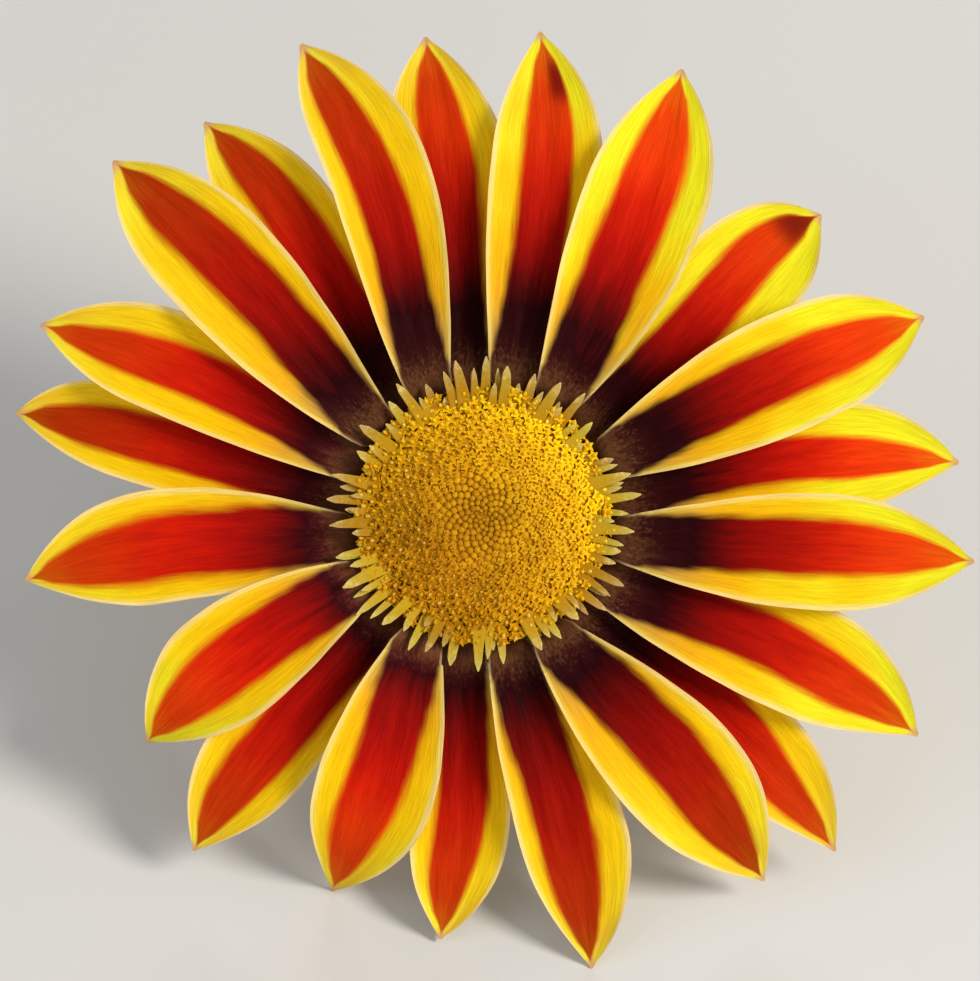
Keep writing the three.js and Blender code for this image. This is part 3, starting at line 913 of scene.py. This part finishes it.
greens = {
    "bract": [(0.0, (0.21, 0.3, 0.07)), (0.5, (0.1, 0.2, 0.03)), (1.0, (0.07, 0.15, 0.025))],
    "bractVein": (0.3, 0.4, 0.12, 1),
    "bractRib": (0.22, 0.34, 0.09, 1),
    "bractTip": (0.2, 0.07, 0.04, 1),
    "scape": [(0.0, (0.16, 0.25, 0.05)), (0.5, (0.22, 0.34, 0.08)), (1.0, (0.3, 0.36, 0.12))],
    "scapeRib": (0.36, 0.46, 0.16, 1),
    "scapeGrain": [(0.3, (0.1, 0.14, 0.04)), (0.7, (0.5, 0.6, 0.25))],
    "cut": [(0.0, (0.62, 0.66, 0.42)), (0.6, (0.5, 0.56, 0.26)), (0.85, (0.24, 0.34, 0.08))],
    "hair": [(0.3, (0.6, 0.64, 0.5)), (0.7, (0.8, 0.82, 0.7))],
}


def bractFinish():
    finish = Finish("bract", 0.55, 0.4)
    along, tip, rib = finish.value("along"), finish.value("tip"), finish.value("rib")
    vein = finish.grain(finish.place(), 420, 3.0, 0.6)
    broad = finish.grain(finish.place(), 90, 2.0, 0.5)
    colour = finish.ramp(along + 0.3 * (broad - 0.5), greens["bract"])
    colour = finish.blend(0.5 * finish.step(vein, 0.5, 0.75), colour, greens["bractVein"])
    colour = finish.blend(0.4 * finish.step(rib + vein - 0.5, 0.2, 1.0), colour, greens["bractRib"])
    finish.paint(finish.blend(0.75 * finish.step(tip, 0.75, 1.0), colour, greens["bractTip"]))
    finish.roughen(0.45 + 0.25 * vein)
    finish.bump(vein, 0.12)
    return finish


# scape

scape = {
    "radius": 1.95,
    "endRadius": 1.7,
    "sides": 10,  # of the solid, which sets how high the stalk lies
    "straight": 6,  # lengths behind the head and along the table
    "lying": 40,
    "rise": 1.5,  # of the part along the table, where it leaves the bend
    "drift": -7,  # of the cut end, sideways
    "sunk": 0.9,  # how far it stands in the cup
    "flare": 0.5,
    "rows": (8, 30, 40),  # along its straight, its bend and the rest
    "ringSides": 40,
    "ribs": 9,
    "hairs": 620,
    "hairRadius": 0.035,
}


def scapeSpine():  # points of the stalk's middle line, from the head to the cut
    flat = scape["endRadius"] * math.cos(math.pi / scape["sides"])
    start = onHead(0, 0, cup["foot"] - 0.3)
    bendStart = start - headOut * scape["straight"]
    tilt = head["tilt"]
    radius = (bendStart.z - flat - scape["rise"]) / (1 - math.cos(tilt))
    straightRows, bendRows, lyingRows = scape["rows"]
    spine = [start + (bendStart - start) * step / straightRows for step in range(straightRows)]
    for step in range(bendRows + 1):
        turn = tilt * (1 - step / bendRows)
        spine.append(Vector((start.x, bendStart.y + radius * (math.sin(tilt) - math.sin(turn)),
                             bendStart.z - radius * (math.cos(turn) - math.cos(tilt)))))
    corner = spine[-1]
    for step in range(1, lyingRows + 1):
        share = step / lyingRows
        spine.append(Vector((start.x, corner.y + scape["lying"] * share,
                             flat + scape["rise"] * (1 + math.cos(math.pi * share)) / 2)))
    length = spine[-1].y - start.y
    return [point + headRight * scape["drift"] * ((point.y - start.y) / length) ** 2 for point in spine]


def stalk(finishes):
    shape = Shape()
    draw = random.Random(3)
    spine = scapeSpine()
    spine.insert(0, spine[0] + headOut * scape["sunk"])
    count = len(spine)
    rings, frames = [], []
    for index, point in enumerate(spine):
        along = (spine[min(index + 1, count - 1)] - spine[max(index - 1, 0)]).normalized()
        down = along.cross(headRight).normalized()
        side = down.cross(along)
        share = index / (count - 1)
        radius = between(scape["radius"], scape["endRadius"], min(1, share * 1.9))
        radius += scape["flare"] * smooth(1 - index / 7)
        frames.append((point, along, side, down, radius))
        ring = []
        for corner in range(scape["ringSides"]):
            turn = math.tau * corner / scape["ringSides"]
            rib = math.cos(turn * scape["ribs"])
            far = radius * (1 + 0.035 * rib + 0.02 * wobble(share * 30, math.cos(turn), 1))
            place = point + (side * math.cos(turn) + down * math.sin(turn)) * far
            place.z = max(place.z, 0.01)
            ring.append(shape.point(place, along=share, tip=rib))
        rings.append(ring)
    shape.skin([ring[::-1] for ring in rings], 0)
    cutEnd(shape, rings[-1], spine[-1], frames[-1][1])
    shape.face(rings[0])
    for hair in range(scape["hairs"]):
        share = draw.random()
        point, along, side, down, radius = frames[int(2 + share * (count - 4))]
        turn = draw.uniform(0, math.tau)
        outward = side * math.cos(turn) + down * math.sin(turn)
        root = point + outward * radius * 0.98 + along * draw.uniform(-0.6, 0.6)
        tip = root + outward * draw.uniform(0.3, 0.75) + along * draw.uniform(-0.35, 0.35)
        if min(root.z, tip.z) < 0.1:
            continue
        around = along.cross(outward)
        base = []
        for angle in (0, math.tau / 3, 2 * math.tau / 3):
            thick = (along * math.cos(angle) + around * math.sin(angle)) * scape["hairRadius"]
            base.append(shape.point(root + thick, along=share, tip=0))
        shape.fan(base, shape.point(tip, along=share, tip=0), 2)
    shape.made("scape_stalk", finishes, "scape", ["scape"])


def cutEnd(shape, ring, middle, along):  # rings of the sliced face, down to the pith
    rings = [ring]
    for share, dent in ((0.94, 0.12), (0.8, 0.16), (0.6, 0.1), (0.3, -0.05)):
        rings.append([])
        for corner in ring:
            place = middle + (shape.points[corner] / mm - middle) * share + along * dent
            rings[-1].append(shape.point(place, along=1.0, tip=share))
    shape.skin([row[::-1] for row in rings], 1)
    shape.fan(rings[-1][::-1], shape.point(middle - along * 0.1, along=1.0, tip=0.0), 1)


def scapeFinish():
    finish = Finish("scape", 0.5, 0.45)
    along, rib = finish.value("along"), finish.value("tip")
    broad = finish.grain(finish.place(), 60, 2.0, 0.5)
    fine = finish.grain(finish.place(), 700, 2.0, 0.6)
    colour = finish.ramp(along + 0.25 * (broad - 0.5), greens["scape"])
    colour = finish.blend(0.35 * finish.step(rib, 0.2, 1.0), colour, greens["scapeRib"])
    finish.paint(finish.blend(0.2, colour, finish.ramp(fine, greens["scapeGrain"])))
    finish.bump(fine, 0.06)
    return finish


def cutFinish():
    finish = Finish("cutEnd", 0.4, 0.5)
    out = finish.value("tip")
    dots = finish.grain(finish.place(), 1500, 2.0, 0.6)
    finish.paint(finish.ramp(out + 0.3 * (dots - 0.5), greens["cut"]))
    finish.bump(dots, 0.08)
    return finish


def hairFinish():
    finish = Finish("hair", 0.5, 0.4)
    tone = finish.grain(finish.place(), 300, 1.0)
    finish.paint(finish.ramp(tone, greens["hair"]))
    return finish


def makeGreens():
    involucre([bractFinish()])
    stalk([scapeFinish(), cutFinish(), hairFinish()])
    print("green parts made")


# table

tableTop = {
    "half": 8,  # metres, so wide that its edges stay out of sight
    "colours": [(0.2, (0.70, 0.69, 0.67)), (0.8, (0.75, 0.74, 0.72))],
}


def makeTable():
    half = tableTop["half"]
    corners = [(-half, -half, 0), (half, -half, 0), (half, half, 0), (-half, half, 0)]
    mesh = bpy.data.meshes.new("table")
    mesh.from_pydata(corners, [], [(0, 1, 2, 3)])
    finish = Finish("table", 0.7, 0.3)
    cloud = finish.grain(finish.place(), 6, 3.0, 0.5)
    finish.paint(finish.ramp(cloud, tableTop["colours"]))
    mesh.materials.append(finish.material)
    table = bpy.data.objects.new("table", mesh)
    bpy.context.scene.collection.objects.link(table)


setCamera()
setLights()
makeTable()
makePetals()
makeDisc()
makeGreens()

bpy.context.view_layer.update()
